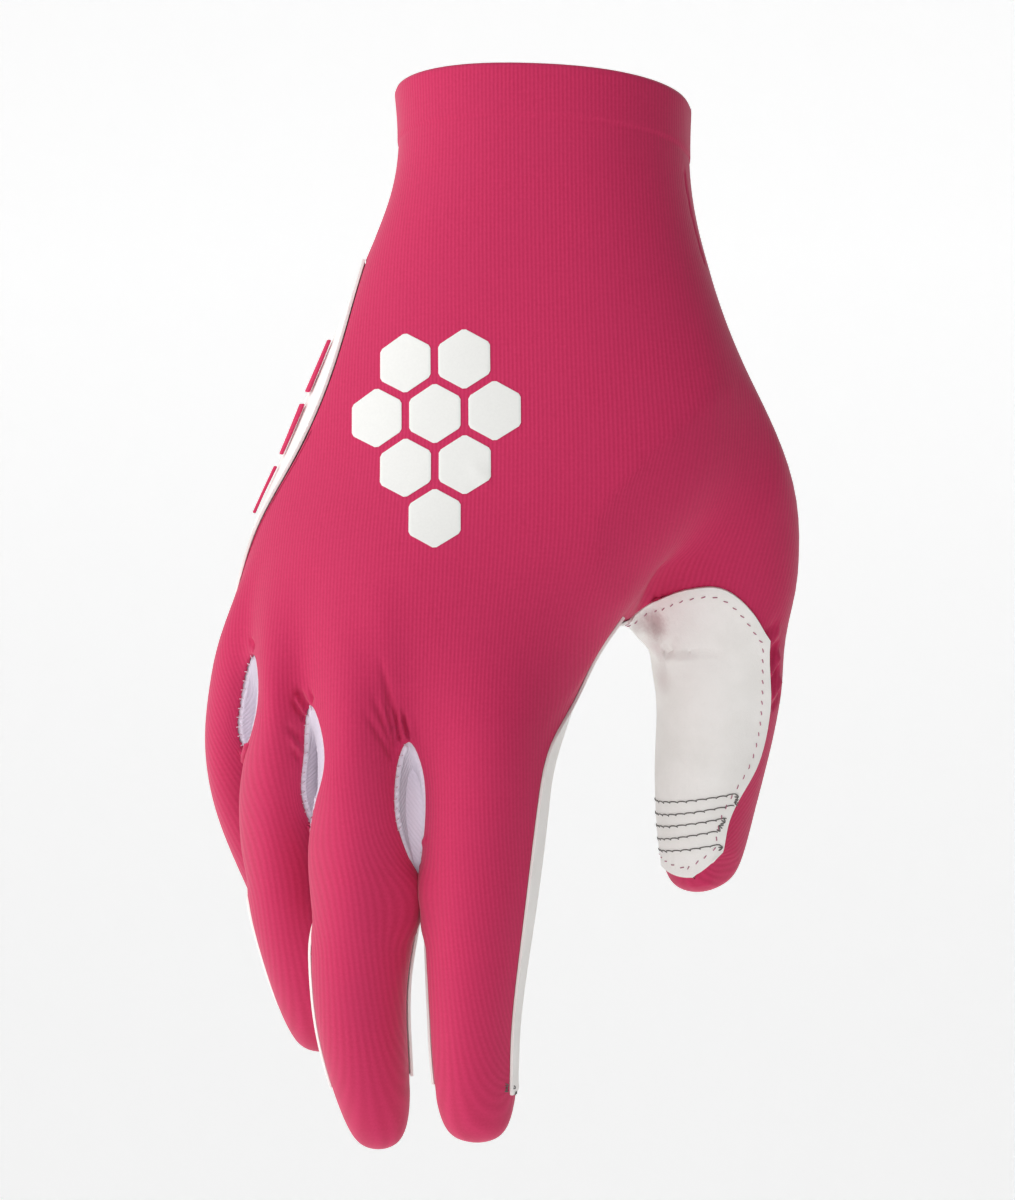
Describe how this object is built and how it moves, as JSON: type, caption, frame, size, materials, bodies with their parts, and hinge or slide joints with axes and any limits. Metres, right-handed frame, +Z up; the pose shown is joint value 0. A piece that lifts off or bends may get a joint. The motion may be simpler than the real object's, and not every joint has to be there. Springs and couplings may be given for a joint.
{
  "type": "motocross glove",
  "caption": "Thin full-finger riding glove for the right hand, held open as worn, with a ribbed knit back, suede palm and thumb patch, stretch gussets between the fingers and a slip-on cuff.",
  "frame": {"origin": "middle of the cuff's mouth, where the wrist goes in", "axes": "+Z up the forearm with the fingers hanging to -Z, -Y out of the back of the hand, +X to the thumb's side"},
  "size_m": [0.1225, 0.0845, 0.2103],
  "materials": {
    "magenta_knit": "fine ribbed stretch knit, matt",
    "white_suede": "synthetic suede, matt",
    "white_stretch_knit": "fine stretch knit, matt",
    "magenta_rubber": "raised silicone rubber, satin"
  },
  "bodies": {
    "root": {"back_panel": "magenta_knit", "cuff_underside": "magenta_knit", "palm_panel": "white_suede", "thumb_panel": "white_suede", "gusset_little_ring": "white_stretch_knit", "gusset_ring_middle": "white_stretch_knit", "gusset_middle_index": "white_stretch_knit", "edge_pad_1": "magenta_rubber", "edge_pad_2": "magenta_rubber", "edge_pad_3": "magenta_rubber"}
  },
  "joints": []
}
